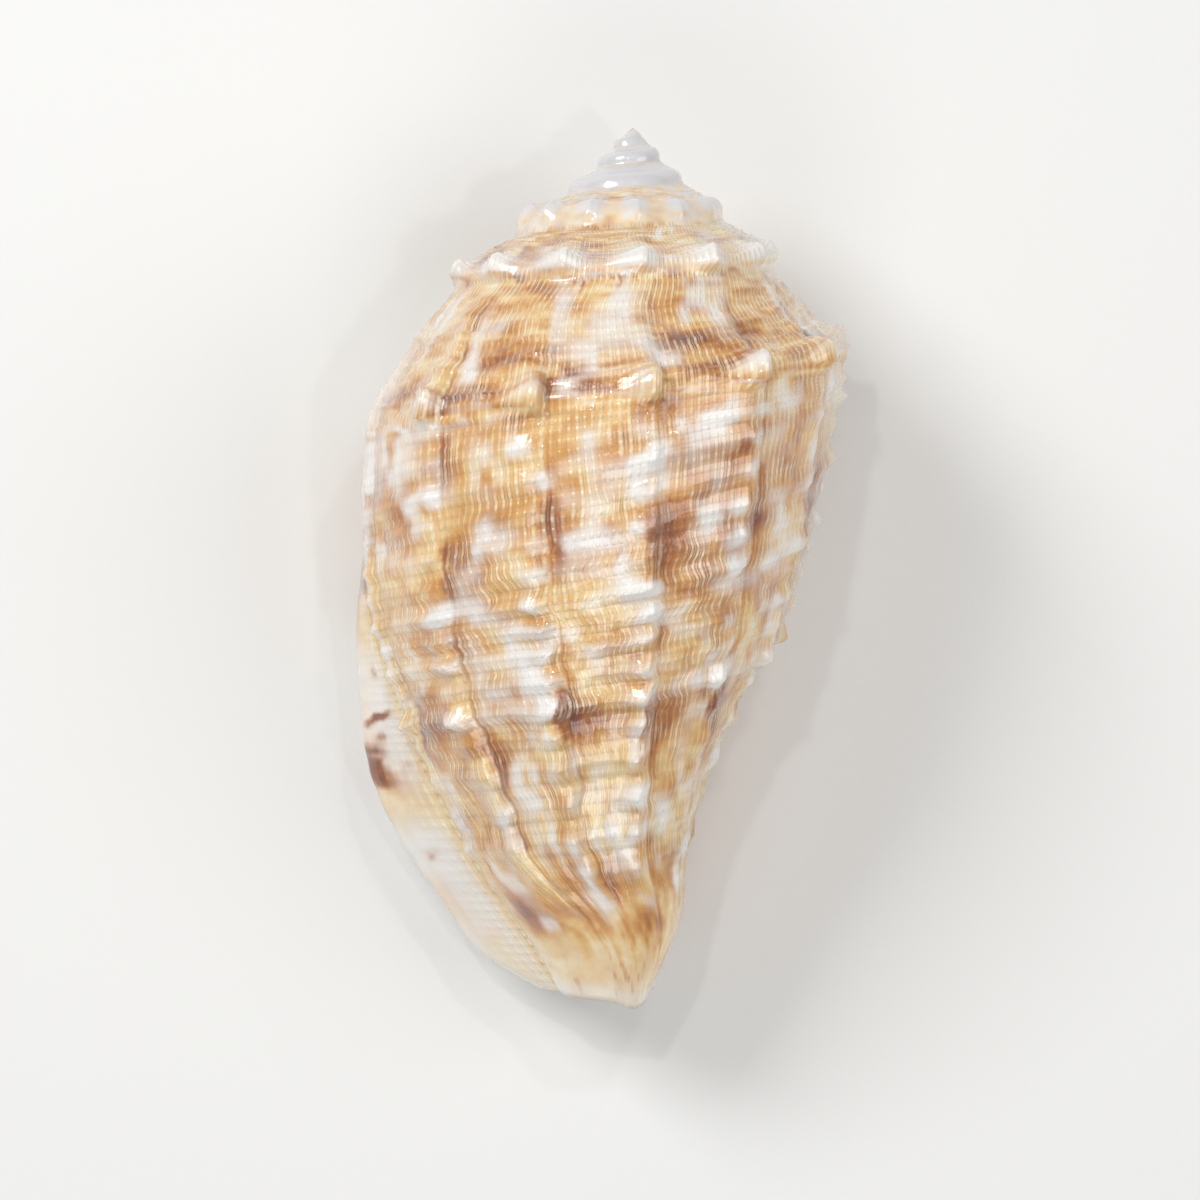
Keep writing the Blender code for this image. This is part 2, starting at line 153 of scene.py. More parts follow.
def wallPoints(angle, t, raised=0.0, lean=0.0, inside=0.0):
    radius, depth = section(angle, t)
    step = 0.04                           # reach of t over which the wall's slope is read
    beforeR, beforeD = section(angle, np.clip(t - step, 0.0, 3.0))
    afterR, afterD = section(angle, np.clip(t + step, 0.0, 3.0))
    run = np.hypot(afterR - beforeR, afterD - beforeD) + 1e-9
    inward = np.radians(side["insideTilt"] * ease(2.4, 0.5, t))
    radius = radius + raised * (afterD - beforeD) / run - inside * np.cos(inward)
    depth = depth - raised * (afterR - beforeR) / run + inside * np.sin(inward)
    azimuth = np.radians(coil["lipAzimuth"] + angle) - lean / (radius + 1.0)
    x = radius * np.cos(azimuth)
    z = radius * np.sin(azimuth)
    limit = restFace(depth) - rest["clearance"] - (x - rest["crownX"]) ** 2 / (2 * rest["crownRadius"])
    pressed = 0.5 * (-z + limit - np.sqrt((-z - limit) ** 2 + rest["rounding"] ** 2))
    flat = ease(*rest["older"], angle) * ease(*rest["newer"], angle) * ease(0.0, 0.25, t)
    flat = flat * (1 - ease(bodyFirst + 6.0, bodyFirst, angle) * ease(0.1, 0.0, np.abs(t - 2)))
    z = z * (1 - flat) - pressed * flat
    return np.stack([x, -depth, z], axis=-1)


def rounded(points, angle, t):
    # Softens the corner at the shoulder. Rows are the last axis but one, and older whorls end on a seam at 2
    soft = points.copy()
    for _ in range(side["rounding"]):
        soft[..., 1:-1, :] = 0.25 * soft[..., :-2, :] + 0.5 * soft[..., 1:-1, :] + 0.25 * soft[..., 2:, :]
    free = ease(bodyFirst + 2.0, bodyFirst + 30.0, angle)
    newer = free * ease(2.28, 2.08, t)
    older = (1 - free) * side["earlyRounding"] * ease(2.0, 1.7, t)
    share = ease(0.70, 0.95, t) * (newer + older)
    return points + (soft - points) * share[..., None]


tableSize = 64                            # random numbers along a side, before a noise repeats
nudge = 0.00001                           # keeps what falls on a whole number on its own side


def softNoise(x, y, seed):                # smooth random waves between -1 and 1, one unit apart
    table = np.random.default_rng(seed).uniform(-1.0, 1.0, (tableSize, tableSize))
    column, row = np.floor(x).astype(int), np.floor(y).astype(int)
    u, v = x - column, y - row
    u, v = u * u * (3 - 2 * u), v * v * (3 - 2 * v)
    column, row = column % tableSize, row % tableSize
    nextColumn, nextRow = (column + 1) % tableSize, (row + 1) % tableSize
    first = table[column, row] * (1 - u) + table[nextColumn, row] * u
    second = table[column, nextRow] * (1 - u) + table[nextColumn, nextRow] * u
    return first * (1 - v) + second * v


def risen(phase):                         # 1 at whole numbers, 0 halfway between two
    return 0.5 + 0.5 * np.cos(2 * np.pi * phase)


# Ribs run along the coil axis, cords and threads run round it, and lamellae are the fine growth lines
ribs = {
    "perTurn": 13, "foot": -38.8, "first": -1300.0, "full": -700.0, "last": -42.0,
    "slant": 3.0, "bend": -24.0, "height": 0.62, "crest": 0.14, "decay": 2.2, "narrowWidth": 0.20,
    "spineHeight": 1.05, "spineLean": 0.8, "earlySpines": 1.25,
    "knobPlace": 0.20, "knobWidth": 0.42,                      # the rounder knobs of the early whorls
    "proud": 0.9, "proudAngle": -212.0, "proudReach": 26.0,    # knobs along the right side stand out most
    "lower": 0.7, "lowerAngle": -335.0, "lowerReach": 45.0,    # spines that the shell lies on are lower
    "step": 0.13,                         # how far the smooth early whorls stand out over their sutures
}
cords = {
    "places": (0.05, 0.104, 0.155, 0.207, 0.255, 0.305, 0.345, 0.385, 0.43, 0.475, 0.52, 0.575, 0.64,
               0.70, 0.76),
    "canalPlaces": (0.82, 0.88, 0.94, 1.0),
    "sizes": (0.3, 0.5, 0.8, 0.5, 1.0, 0.6, 1.1, 0.5, 0.9, 0.6, 1.2, 0.6, 1.1, 0.7, 1.1, 0.8, 0.9, 0.5,
              0.3, 0.2, 0.2),
    "height": 0.10, "slope": 0.0005, "threads": 3, "threadHeight": 0.06, "rampThreads": 14.0,
    "strong": 9, "strongHeight": 0.42, "strongWidth": 0.5,     # the one cord that is larger than the others
}
lamellae = {
    "perRib": 14, "height": 0.085, "wave": 0.42, "inFold": 28,
    "wideLumps": 0.16, "smallLumps": 0.08,     # unevenness of the wall under them
}
shield = {
    "first": -250.0, "height": 0.28, "edge": 5.0, "pustules": 0.22, "spacing": 1.15,
    "perDegree": 0.11, "perT": 32.0,           # about the millimetres to a degree and to 1 of t on it
    "ribsFade": (-262.0, -236.0),
}
pitch = 360.0 / ribs["perTurn"]
lamellaStep = pitch / lamellae["perRib"]
foldFirst = ribs["foot"] + 8 * lamellaStep       # where the wall turns into the thick lip
foldLast = foldFirst + lamellae["inFold"] * lamellaStep    # its toothed edge
bodyFirst = foldLast - 360.0
pocketLast = -149.6                              # how far back the hollow reaches
seamT = 2.05                                     # where the hollow starts under the suture


def cordPhase(angle, t):                  # 0 on the uppermost cord, 1 on the next, and so on down
    slope = cords["slope"] * (angle + 100.0) * ease(2.0, 2.08, t) * ease(3.0, 2.8, t)
    down = np.clip(t - 2, 0.0, 1.0) - slope
    places = np.concatenate([[0.0], cords["places"], cords["canalPlaces"]])
    return np.interp(down, places, np.arange(len(places)) - 1.0)


def threadPhase(angle, t):                # whole numbers on the threads
    onRamp = cords["rampThreads"] * np.clip(t, 0.0, 1.0)
    onSide = cords["rampThreads"] + 1 + cords["threads"] * (cordPhase(angle, t) + 1)
    return np.where(t < 2, onRamp + np.clip(t - 1, 0.0, 1.0), onSide)


def warped(angle, t):                     # a lamella's own line: it slants, bends and waves down the whorl
    slant = ribs["slant"] * ease(0.9, 0.1, t) * ease(0.0, 0.3, t)
    bend = ribs["bend"] * ease(2.70, 2.92, t) ** 1.5 * ease(-30.0, -60.0, angle) * ease(-215.0, -190.0, angle)
    phase = cordPhase(angle, t)
    wave = 0.5 * np.sin(2 * np.pi * phase + softNoise(angle / 9.0, phase * 0.7, 4) * 2.5)
    wave = wave + 1.2 * softNoise(angle / 6.0, phase * 1.9, 5) + 1.6 * softNoise(angle / 13.0, phase * 0.9, 3)
    shown = ease(2.0, 2.06, t) * ease(2.97, 2.9, t) * ease(-24.0, -30.0, angle) * ease(-325.0, -300.0, angle)
    return angle + slant + bend + lamellae["wave"] * lamellaStep * wave * shown


def ribLap(angle):                        # 0 at the sharp foot of a rib, 1 at the next newer foot
    return np.mod((angle - ribs["foot"]) / pitch + nudge, 1.0)


def fromCrest(lap):                       # how far this is from the top of an early knob
    return np.abs(np.mod(lap - ribs["knobPlace"] + 0.5, 1.0) - 0.5)


def pustules(angle, t):                   # 1 on top of a small round knob, 0 between
    u = angle * shield["perDegree"] / shield["spacing"]
    v = t * shield["perT"] / shield["spacing"]
    jitter = np.random.default_rng(12).uniform(0.15, 0.85, (3, tableSize, tableSize))
    column, row = np.floor(u).astype(int), np.floor(v).astype(int)
    total = np.zeros_like(u)
    for across in (-1, 0, 1):
        for along in (-1, 0, 1):
            i, j = (column + across) % tableSize, (row + along) % tableSize
            away = (u - column - across - jitter[0, i, j]) ** 2 + (v - row - along - jitter[1, i, j]) ** 2
            total = np.maximum(total, ease(0.45, 0.0, np.sqrt(away)) * jitter[2, i, j])
    return total


def onShield(angle, t):                   # 1 on the shield, 0 off it
    edge = shield["first"] + 7.0 * softNoise(t * 5.0, t * 0.0, 13)
    return ease(edge + shield["edge"], edge, angle) * ease(2.02, 2.10, t) * ease(2.97, 2.90, t)


def noduleSizes(angle, t):                # how large the cord is here, and the knob where it crosses the rib
    phase = cordPhase(angle, t)
    cord = np.interp(phase, np.arange(len(cords["sizes"])) - 1.0, cords["sizes"])
    chance = np.random.default_rng(9).uniform(0.35, 1.25, (tableSize, tableSize))
    rib = np.floor((angle - ribs["foot"]) / pitch + nudge).astype(int)
    return cord, chance[rib % tableSize, np.round(phase).astype(int) % tableSize]


def ribShape(lap, t, early):              # 0 at the foot of a rib, 1 on its crest
    rise = np.sin(0.5 * np.pi * lap / ribs["crest"])
    rib = np.where(lap < ribs["crest"], rise, ((1 - lap) / (1 - ribs["crest"])) ** ribs["decay"])
    narrow = np.where(lap < ribs["crest"], rib, bump(ribs["crest"], ribs["narrowWidth"], lap))
    narrowed = ease(0.6, 0.9, t) * ease(2.10, 1.98, t) + 0.75 * ease(2.38, 2.55, t) * ease(2.92, 2.84, t)
    rib = rib + (narrow - rib) * narrowed
    knob = np.clip(1 - fromCrest(lap) / ribs["knobWidth"], 0, 1) ** 1.5
    return rib + (knob - rib) * early


def spineShape(angle, t, early, chance):  # the knob where a rib crosses the shoulder
    grown = ribs["earlySpines"] + (1 - ribs["earlySpines"]) * ease(-420.0, -230.0, angle)
    grown = grown * (0.25 + 0.75 * ease(-38.0, -58.0, angle))
    grown = grown * (1 - ribs["lower"] * bump(ribs["lowerAngle"], ribs["lowerReach"], angle))
    below = 1.6 * np.clip(t - 1, 0, 1) + 34.0 * np.clip(t - 2, 0, 1)
    away = np.where(t < 1, 7.0 * (1 - t) / 1.2, below / 1.3)
    lap = ribLap(angle)
    sharp = np.where(lap < 0.1, 1.0, bump(0.1, 0.2, lap))
    return grown * np.exp(-away**2) * (0.65 + 0.45 * chance) * (sharp + (1 - sharp) * early)


def fineShape(angle, t):                  # growth lines crossed by threads, and low uneven lumps
    line = np.mod((angle - ribs["foot"]) / lamellaStep + nudge, 1.0)
    edge = np.clip(1 - 1.5 * line, 0.0, 1.0)
    patchy = 0.62 + 0.55 * softNoise(angle / 11.0, t * 14.0, 6)
    thread = risen(threadPhase(angle, t))
    calm = np.where(t > 2, ease(2.93, 2.70, t), ease(0.02, 0.14, t))
    fine = lamellae["height"] * edge * (0.55 + 0.45 * thread) * patchy + cords["threadHeight"] * thread
    wide = lamellae["wideLumps"] * softNoise(angle / 7.0, t * 16.0, 7)
    lumps = wide + lamellae["smallLumps"] * softNoise(angle / 3.0, t * 34.0, 8)
    return fine * calm + lumps * calm


def carved(angle, t):
    # Height of the sculpture above the plain wall, and how far the spines lean back
    early = ease(-330.0, -420.0, angle)
    rib = ribShape(ribLap(angle), t, early)
    phase = cordPhase(angle, t)
    cord, chance = noduleSizes(angle, t)
    below = ease(1.98, 2.04, t)
    bead = risen(phase) * ease(2.86, 2.72, t) * ease(2.0, 2.03, t)
    strong = bump(cords["strong"], cords["strongWidth"], phase) * below
    rightSide = bump(ribs["proudAngle"], ribs["proudReach"], angle)
    proud = 1 + ribs["proud"] * rightSide
    proud = proud * (0.55 + 0.45 * np.maximum(ease(2.18, 2.36, t), rightSide))
    rampPart = ease(0.0, 0.5, t) * (0.45 + 0.2 * np.clip(t, 0, 1))
    bodyPart = (0.40 + 0.75 * proud * bead * np.sqrt(cord) * chance) * ease(2.87, 2.68, t)
    height = ribs["height"] * np.where(t < 1.0, rampPart, np.where(t < 2, 0.65 - 0.25 * (t - 1), bodyPart))
    spine = spineShape(angle, t, early, chance)
    total = rib * (height + ribs["spineHeight"] * spine + cords["strongHeight"] * strong)
    total = total + (cords["height"] * bead * cord + 0.15 * strong) * below
    total = total + fineShape(angle, t)
    # It grows with the whorl, and fades out at the suture, at the lip and where the next whorl or shield is
    size = (alongCoil("shoulderRadius", angle) / coil["shoulderRadius"][-2]) ** 1.25
    strength = ease(ribs["first"], ribs["full"], angle) * ease(foldFirst, ribs["last"], angle)
    bare = ease(*shield["ribsFade"], angle)
    covered = ease(2.0, 1.5, t) * ease(-300.0, -330.0, angle)
    seam = np.where(t <= 1, ease(0.0, 0.25, t), 1.0)
    whole = np.where(angle < shield["ribsFade"][0], covered * strength, bare * strength)
    part = size * seam * np.where(t < 1.2, strength, whole)
    callus = onShield(angle, t) * (shield["height"] + shield["pustules"] * pustules(angle, t))
    callus = callus * ease(bodyFirst, bodyFirst + 5.0, angle)
    stepped = ribs["step"] * ease(-560.0, -800.0, angle) * ease(-1990.0, -1800.0, angle)
    stepped = stepped * bump(1.15, 0.6, t) * ease(0.0, 0.4, t) * ease(2.0, 1.6, t)
    return total * part + callus + stepped, rib * ribs["spineLean"] * spine * part


lip = {
    "depth": (9.4, 10.9, 13.2, 14.9, 16.8, 19.9, 24.5, 28.7, 32.4, 36.9, 40.8, 44.0, 47.9, 49.15),
    "reach": (9.8, 11.05, 13.0, 14.4, 15.2, 15.35, 15.4, 15.9, 15.6, 14.9, 13.1, 10.9, 7.5, 5.2),
    "toothDepth": (9.4, 13.2, 16.8, 24.5, 32.4, 36.9, 40.8, 44.0, 47.9, 49.15),
    "toothReach": (6.0, 7.4, 9.0, 9.4, 9.5, 9.1, 8.0, 6.6, 4.3, 2.9),
    "toothHeight": 0.55, "frill": 0.13, "cordHeight": 0.06, "rounding": 60,
    "wall": 1.3, "canalShare": 0.60, "innerColumns": 10, "pocketColumns": 20,
}


def lipTeeth(angle, t):                   # up to 1 on a tooth, below 0 between two
    wave = np.cos(2 * np.pi * (cordPhase(angle, t) + 0.25 + 0.12 * softNoise(t * 21.0, t * 0.0, 15)))
    tooth = np.where(wave > 0, wave**0.6, 0.5 * wave)
    size = 0.75 + 0.45 * softNoise(t * 17.0, t * 0.0, 16)
    return tooth * size * ease(2.0, 2.1, t) * ease(2.95, 2.8, t)


def lipPaths(start, t):                   # the way of each row from the wall to the toothed edge
    depth = -start[:, 1]
    floorZ = -restFace(depth)
    reach = -smoothCurve(lip["depth"], lip["reach"], depth)
    toothX = -smoothCurve(lip["toothDepth"], lip["toothReach"], depth)
    tooth = lip["toothHeight"] * lipTeeth(np.full_like(t, foldFirst), t)
    drop = start[:, 2] - floorZ
    width = toothX - reach
    x0, z0 = start[:, 0], start[:, 2]
    pathX = (x0, x0 + 0.45 * (reach - x0), reach + 0.02 * width, reach, reach + 0.03 * width,
             reach + 0.11 * width, reach + 0.27 * width, reach + 0.50 * width,
             reach + 0.80 * width + 0.4 * tooth, reach + 0.95 * width + tooth, toothX + 0.6 * tooth)
    pathZ = (z0, z0 - 0.12 * drop, z0 - 0.30 * drop, z0 - 0.48 * drop, z0 - 0.68 * drop,
             z0 - 0.86 * drop, floorZ + 0.12, floorZ,
             floorZ + 0.22 - 0.3 * tooth, floorZ + 0.45 - 0.4 * tooth, floorZ + 1.5)
    return np.array(pathX), np.array(pathZ), floorZ


def lipFrills(shares, t):                 # growth frills along the outside of the lip, and cords across it
    line = np.mod(shares * lamellae["inFold"] + nudge, 1.0)[:, None]
    patchy = 0.6 + 0.6 * softNoise(shares[:, None] * 9.0, t[None, :] * 13.0, 14)
    frill = lip["frill"] * np.clip(1 - 1.5 * line, 0, 1) * patchy * ease(0.55, 0.15, shares)[:, None]
    frill = frill * ease(0.0, 0.03, shares)[:, None] * ease(2.95, 2.7, t)
    swell = risen(cordPhase(np.full_like(t, foldFirst), t))
    swell = lip["cordHeight"] * swell * ease(2.0, 2.06, t) * ease(2.95, 2.8, t)
    swell = swell * (ease(0.03, 0.12, shares) * ease(0.60, 0.30, shares))[:, None]
    return frill, swell


def lipPoints(shares, t):                 # the wall rolls outwards, under, and in to the toothed edge
    raised, lean = carved(np.full_like(t, foldFirst), t)
    real = warped(np.full_like(t, foldFirst), t)
    flat = wallPoints(real, t)
    start = wallPoints(real, t, raised, lean)
    start = start + rounded(flat, foldFirst, t) - flat
    pathX, pathZ, floorZ = lipPaths(start, t)
    places = np.linspace(0.0, 1.0, len(pathX))
    frill, swell = lipFrills(shares, t)
    x = smoothCurve(places, pathX, shares) - 0.5 * frill - 0.8 * swell
    z = smoothCurve(places, pathZ, shares) + frill + 0.4 * swell
    rolled = np.stack([x, np.broadcast_to(start[:, 1], x.shape), z], axis=-1)
    soft = rolled.copy()                  # the shoulder's corner is rounded away from the body
    for _ in range(lip["rounding"]):
        soft[:, 1:-1] = 0.25 * soft[:, :-2] + 0.5 * soft[:, 1:-1] + 0.25 * soft[:, 2:]
    share = (ease(0.02, 0.2, shares)[:, None] * ease(2.45, 2.15, t) * ease(0.3, 0.7, t))[..., None]
    rolled = rolled * (1 - share) + soft * share
    angle = np.broadcast_to((foldFirst + (foldLast - foldFirst) * shares)[:, None], x.shape)
    rows = np.broadcast_to(t, x.shape)
    plain = rounded(wallPoints(warped(angle, rows), rows), angle, rows)
    plain[..., 2] = np.maximum(plain[..., 2], floorZ + 0.25)
    weight = ease(0.0, 1.6, rows)[..., None]
    return plain * (1 - weight) + rolled * weight


def swing(start, end, shares):            # points between two others that keep their distance from the axis
    share = shares[:, None]
    radius = np.hypot(start[:, 0], start[:, 2]) * (1 - share) + np.hypot(end[:, 0], end[:, 2]) * share
    first = np.arctan2(-start[:, 2], -start[:, 0])
    last = np.arctan2(-end[:, 2], -end[:, 0])
    azimuth = first * (1 - share) + last * share
    y = start[:, 1] * (1 - share) + end[:, 1] * share
    return np.stack([-radius * np.cos(azimuth), y, -radius * np.sin(azimuth)], axis=-1)


def canalShare(angle):                    # how far down the hollow reaches, less the deeper in
    return 1 - (1 - lip["canalShare"]) * ease(foldFirst, pocketLast, angle)


def pillarPoints(angle, t):               # the inner side of the hollow, on the whorl before
    older = angle - 360.0
    lower = 2 + (t - 2) * canalShare(angle)
    return wallPoints(warped(older, lower), lower)


def hollowAngles():                       # from the toothed edge back to the deep end of the hollow
    near = np.linspace(foldLast, foldFirst, lip["innerColumns"] + 1)
    return np.concatenate([near, np.linspace(foldFirst, pocketLast, lip["pocketColumns"] + 1)[1:]])


def innerPoints(angles, t):               # the inside of the outer wall
    thickness = lip["wall"] * (0.6 + 0.4 * ease(0.0, 1.0, t)) * (1 - 0.4 * ease(2.6, 3.0, t))
    edge = lipPoints(np.array([1.0]), t)[0]
    base = wallPoints(np.full_like(t, foldFirst), t, inside=thickness * 1.2)
    near = swing(edge, base, np.linspace(0.0, 1.0, lip["innerColumns"] + 1))
    angle, row = np.meshgrid(angles[lip["innerColumns"] + 1:], t, indexing="ij")
    shortened = np.where(row <= 2, row, 2 + (row - 2) * canalShare(angle))
    far = wallPoints(angle, shortened, inside=np.broadcast_to(thickness, angle.shape))
    closing = ease(2.8, 3.0, row)[..., None]
    far = far * (1 - closing) + pillarPoints(angle, np.full_like(row, 3.0)) * closing
    points = np.concatenate([near, far])
    # The upper row meets the pillar's
    points[1:, 0] = pillarPoints(angles[1:], np.full(len(angles) - 1, seamT))
    return points


def addSheet(name, points, growth, tint, thinned):
    # A grid of columns and rows, moved point by point to its place. Thinned points may lose faces later
    columns, rows = points.shape[:2]
    bpy.ops.mesh.primitive_grid_add(x_subdivisions=rows - 1, y_subdivisions=columns - 1, size=1)
    sheet = bpy.context.object
    sheet.name = name
    sheet.data.vertices.foreach_set("co", points.reshape(-1))
    corners = np.empty(len(sheet.data.loops), np.int32)
    sheet.data.loops.foreach_get("vertex_index", corners)
    sheet.data.uv_layers.active.name = "growth"
    sheet.data.uv_layers.active.data.foreach_set("uv", growth.reshape(-1, 2)[corners].reshape(-1))
    colours = sheet.data.attributes.new("tint", "FLOAT_COLOR", "POINT")
    colours.data.foreach_set("color", tint.reshape(-1))
    group = sheet.vertex_groups.new(name="thinned")
    group.add([int(index) for index in np.flatnonzero(thinned)], 1.0, "REPLACE")
    print("sheet", name, columns, "columns", rows, "rows")
    return sheet


# Colours. Blotches are angle, t, reach to the newer and older side in degrees, reach in t, strength.
# Those of the lip are the share of the way round it, t, reach in that share, reach in t, strength
markings = {
    "brown": (
        (-76, 0.62, 4, 14, 0.17, 0.55), (-49, 0.86, 4, 8, 0.09, 0.6), (-70, 0.90, 3, 10, 0.10, 0.6),
        (-98, 0.77, 2, 6, 0.09, 0.7), (-104, 0.94, 3, 8, 0.08, 0.65), (-126, 0.58, 4, 22, 0.17, 0.6),
        (-130, 0.90, 4, 18, 0.09, 0.65), (-174, 0.72, 4, 8, 0.13, 0.55),
        (-81, 0.06, 2, 3, 0.07, 0.5), (-97, 0.07, 0.7, 1, 0.08, 0.7), (-110, 0.05, 0.8, 1, 0.08, 0.6),
        (-45, 2.20, 2, 6, 0.05, 0.5), (-67, 2.22, 2, 9, 0.06, 0.6), (-94.5, 2.20, 2, 8, 0.07, 0.7),
        (-121, 2.21, 3, 12, 0.07, 0.6), (-148, 2.21, 3, 9, 0.04, 0.7), (-175, 2.20, 3, 10, 0.06, 0.6),
        (-42, 2.51, 1, 18, 0.055, 0.85), (-92.5, 2.50, 1, 20, 0.045, 0.85), (-119.5, 2.51, 1, 22, 0.05, 0.7),
        (-146, 2.50, 2, 14, 0.05, 0.7), (-66, 2.59, 1, 6, 0.05, 0.75), (-176, 2.52, 3, 14, 0.05, 0.5),
        (-132, 2.12, 10, 20, 0.08, 0.35), (-50, 2.12, 14, 12, 0.08, 0.3), (-104, 2.775, 9, 26, 0.06, 0.50),
        (-45, 2.84, 2, 60, 0.035, 0.50), (-112, 2.85, 10, 24, 0.03, 0.45),
    ),
    "dark": (
        (-147, 0.55, 7, 8, 0.14, 0.6), (-99, 0.78, 2, 4, 0.07, 0.7), (-50, 0.87, 3, 4, 0.06, 0.4),
        (-73, 0.92, 3, 4, 0.06, 0.4), (-106, 0.96, 3, 4, 0.06, 0.5), (-68, 2.24, 1.5, 4, 0.035, 0.6),
        (-121.5, 2.22, 0.8, 2.5, 0.045, 0.7), (-95.5, 2.22, 1, 3, 0.05, 0.5), (-148, 2.21, 1, 4, 0.025, 0.6),
        (-43, 2.48, 1, 6, 0.03, 0.9), (-93, 2.47, 1, 4, 0.035, 0.8), (-119.5, 2.50, 0.7, 1.5, 0.06, 0.6),
        (-149, 2.50, 3, 5, 0.035, 0.6), (-124, 2.71, 2, 6, 0.015, 0.5), (-138, 2.74, 6, 6, 0.012, 0.5),
        (-27, 2.225, 4, 4, 0.035, 0.9), (-76, 2.80, 3, 3, 0.02, 0.3), (-82, 2.83, 3, 3, 0.015, 0.3),
        (-66.5, 2.59, 0.7, 1.5, 0.03, 0.6),
    ),
    "white": (
        (-108, 0.45, 9, 12, 0.28, 0.7), (-106, 0.84, 4, 12, 0.06, 0.5), (-100, 2.215, 3, 17, 0.025, 0.9),
        (-134, 2.20, 3, 5, 0.03, 0.9), (-82, 2.20, 4, 5, 0.03, 0.6), (-112, 2.31, 3, 3, 0.02, 0.8),
        (-72, 2.30, 4, 4, 0.02, 0.6), (-142, 2.305, 5, 14, 0.02, 0.7), (-58, 2.40, 6, 10, 0.04, 0.4),
        (-76, 2.64, 5, 5, 0.03, 0.8), (-105, 2.69, 4, 4, 0.025, 1.0), (-88, 2.72, 4, 4, 0.025, 0.9),
        (-129, 2.67, 4, 4, 0.035, 1.0), (-60, 2.865, 5, 5, 0.018, 1.0), (-150, 2.62, 6, 6, 0.05, 0.6),
        (-85, 2.60, 6, 6, 0.02, 0.4), (-118, 2.42, 10, 12, 0.02, 0.5), (-60, 2.62, 8, 8, 0.05, 0.4),
        (-198, 1.1, 14, 18, 0.5, 0.7), (-194, 2.05, 12, 16, 0.04, 0.6),
    ),
    "lipBrown": (
        (0.05, 2.235, 0.08, 0.035, 1.0), (0.24, 2.24, 0.12, 0.045, 0.8), (0.14, 2.51, 0.06, 0.015, 0.9),
        (0.18, 2.555, 0.09, 0.02, 1.0), (0.20, 2.60, 0.12, 0.04, 1.0), (0.22, 2.80, 0.06, 0.03, 0.4),
        (0.27, 2.10, 0.08, 0.04, 0.7), (0.45, 2.30, 0.10, 0.04, 0.7), (0.42, 2.62, 0.12, 0.05, 0.8),
        (0.36, 1.85, 0.10, 0.06, 0.6), (0.10, 2.42, 0.05, 0.015, 0.6), (0.33, 2.47, 0.05, 0.02, 0.6),
        (0.12, 2.75, 0.05, 0.015, 0.6), (0.52, 2.80, 0.08, 0.03, 0.6), (0.62, 2.28, 0.06, 0.03, 0.6),
        (0.60, 2.62, 0.07, 0.03, 0.7), (0.55, 2.08, 0.07, 0.04, 0.5),
    ),
}
mottling = {                              # how strongly each of these shows
    # Of these, the two for the feet are brown together with painted shade in the crease at each rib's foot
    "brown": 0.26, "upperBrown": 0.05, "clouds": 0.20, "specks": 0.16, "footBrownAndShade": 0.28, "blotches": 0.62,
    "white": 0.12, "whitePatches": 0.55, "whiteBeads": 0.12, "whiteKnobs": 0.60, "whiteSpines": 0.8,
    "darkFootAndShade": 0.7, "flange": 0.9, "shield": 0.42,
}


def blotches(name, angle, t):
    total = np.zeros_like(t)
    wobble = 2.2 * softNoise(angle / 4.0, t * 22.0, 21) + 1.2 * softNoise(angle / 1.7, t * 50.0, 22)
    for place, row, newer, older, reach, strength in markings[name]:
        away = angle + wobble - place
        across = np.where(away > 0, away / newer, away / older)
        total = np.maximum(total, strength * np.exp(-across**2 - ((t - row) / reach) ** 2))
    return total


def earlyTint(angle, real, t, brown, white, random):      # early whorls are paler, with white knobs
    lap = ribLap(angle)
    early = ease(-365.0, -400.0, real)
    pale = ease(-430.0, -520.0, real)
    ribbed = ease(-1000.0, -700.0, real)
    top = np.clip(0.3 + bump(0.0, 0.26, fromCrest(lap)), 0, 1)
    white = np.maximum(white, early * (0.20 + 0.75 * bump(1.05, 0.40, t) * top))
    brown = brown * (1 - 0.5 * pale) + early * 0.7 * bump(0.50, 0.3, t) * (random - 0.35) * ribbed
    # Darker near the suture between the knobs: brown together with painted shade in that crease
    brown = brown + early * 0.5 * bump(1.9, 0.35, t) * bump(0.75, 0.12, lap) * ribbed
    white = np.maximum(white, pale * (0.35 + 0.35 * softNoise(angle / 12.0, t * 3.0, 40)))
    smooth = ease(-800.0, -1050.0, real)
    white = np.maximum(white, smooth * (0.6 + 0.4 * ease(0.0, 0.3, t) * ease(2.0, 1.7, t)))
    return brown, white


